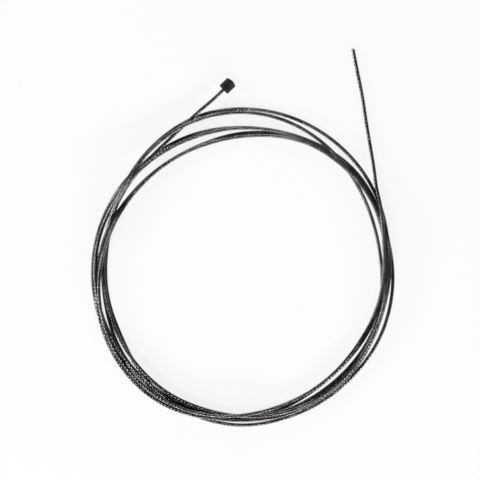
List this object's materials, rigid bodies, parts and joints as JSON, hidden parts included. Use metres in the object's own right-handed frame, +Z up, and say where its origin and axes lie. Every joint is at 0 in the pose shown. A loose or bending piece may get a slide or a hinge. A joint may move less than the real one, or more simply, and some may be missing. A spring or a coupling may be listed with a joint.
{
  "type": "shift cable",
  "caption": "Dark coated steel shift cable, a thin twisted strand with a small barrel-shaped cast head, lying in a loose coil with its bare free end pointing out.",
  "frame": {"origin": "middle of the whole object's box in plan, on the surface that it lies on", "axes": "+Z up from the surface, +Y towards the free end's tip, +X to the right with the head at the top left"},
  "size_m": [0.1036, 0.1292, 0.004],
  "materials": {
    "head": "satin black coat on cast zinc, slightly uneven",
    "strand": "dark grey coated steel wires with bright glints along the twist"
  },
  "bodies": {
    "root": {"barrel_head": "head", "cable_head_tail": "strand", "cable_coil": "strand", "cable_free_end": "strand"}
  },
  "joints": []
}
